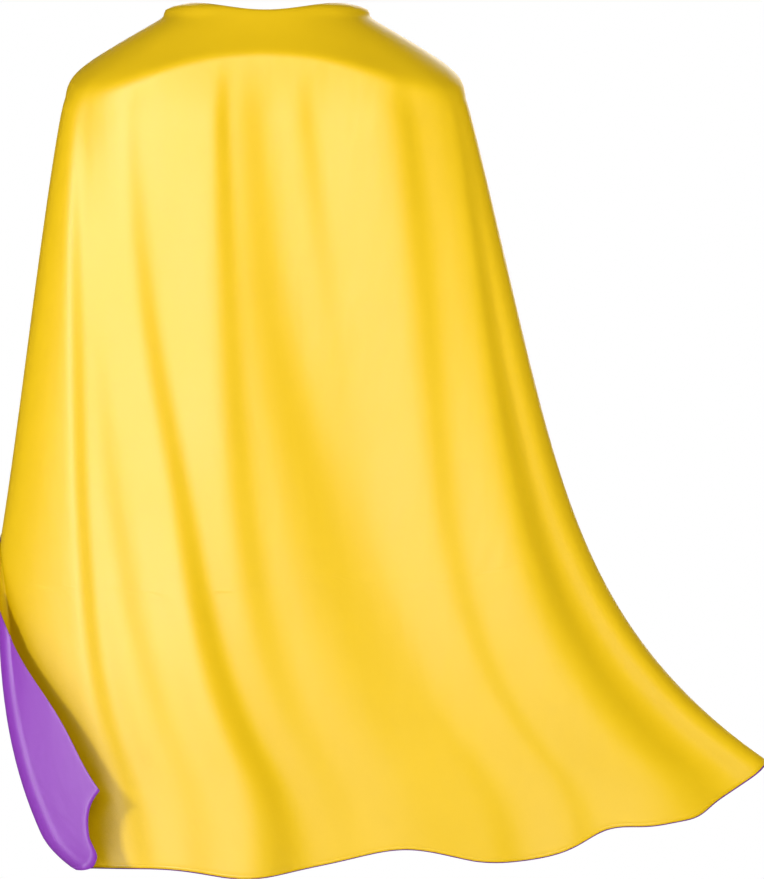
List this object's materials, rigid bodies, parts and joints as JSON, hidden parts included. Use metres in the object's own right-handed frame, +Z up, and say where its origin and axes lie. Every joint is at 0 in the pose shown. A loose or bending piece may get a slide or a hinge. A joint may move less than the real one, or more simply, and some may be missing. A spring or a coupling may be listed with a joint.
{
  "type": "superhero cape",
  "caption": "Child's reversible satin superhero cape, worn on the shoulders, with flared folds, a turned hem corner and a hook-and-loop neck closure.",
  "frame": {"origin": "the neck_opening mount: on the axis of the neck opening, level with the top of the neck tabs", "axes": "+Z up, +Y the way the wearer faces (the cape's back faces -Y), +X the wearer's right"},
  "size_m": [0.613, 0.2306, 0.697],
  "materials": {
    "yellow_satin": "polyester satin, warm yellow, soft sheen",
    "purple_satin": "polyester satin, violet, soft sheen",
    "interfacing": "white non-woven interfacing",
    "hook_tape": "yellow nylon hook tape",
    "loop_tape": "yellow nylon loop tape, brushed",
    "thread": "polyester sewing thread"
  },
  "bodies": {
    "yoke": {"outer_yoke": "yellow_satin", "lining_yoke": "purple_satin"},
    "drape": {"outer_drape": "yellow_satin", "lining_drape": "purple_satin"},
    "hook_tab": {"hook_tab_outer": "yellow_satin", "hook_tab_lining": "purple_satin", "hook_tab_interfacing": "interfacing", "hook_patch": "hook_tape", "hook_patch_stitching": "thread"},
    "loop_tab": {"loop_tab_outer": "yellow_satin", "loop_tab_lining": "purple_satin", "loop_tab_interfacing": "interfacing", "loop_patch": "loop_tape", "loop_patch_stitching": "thread"}
  },
  "joints": [
    {"name": "drape_swing", "type": "hinge", "parent": "yoke", "child": "drape", "pos_m": [0, -0.0972, -0.0489], "axis": [-1, 0, 0], "range_deg": [0, 25]},
    {"name": "hook_tab_swing", "type": "hinge", "parent": "yoke", "child": "hook_tab", "pos_m": [0.0576, 0.0286, -0.012], "axis": [0, 0, -1], "range_deg": [0, 90]},
    {"name": "loop_tab_swing", "type": "hinge", "parent": "yoke", "child": "loop_tab", "pos_m": [-0.0576, 0.0286, -0.012], "axis": [0, 0, 1], "range_deg": [0, 18.5]}
  ],
  "couplings": [
    {"joint": "loop_tab_swing", "follows": "hook_tab_swing", "ratio": 0.2}
  ]
}
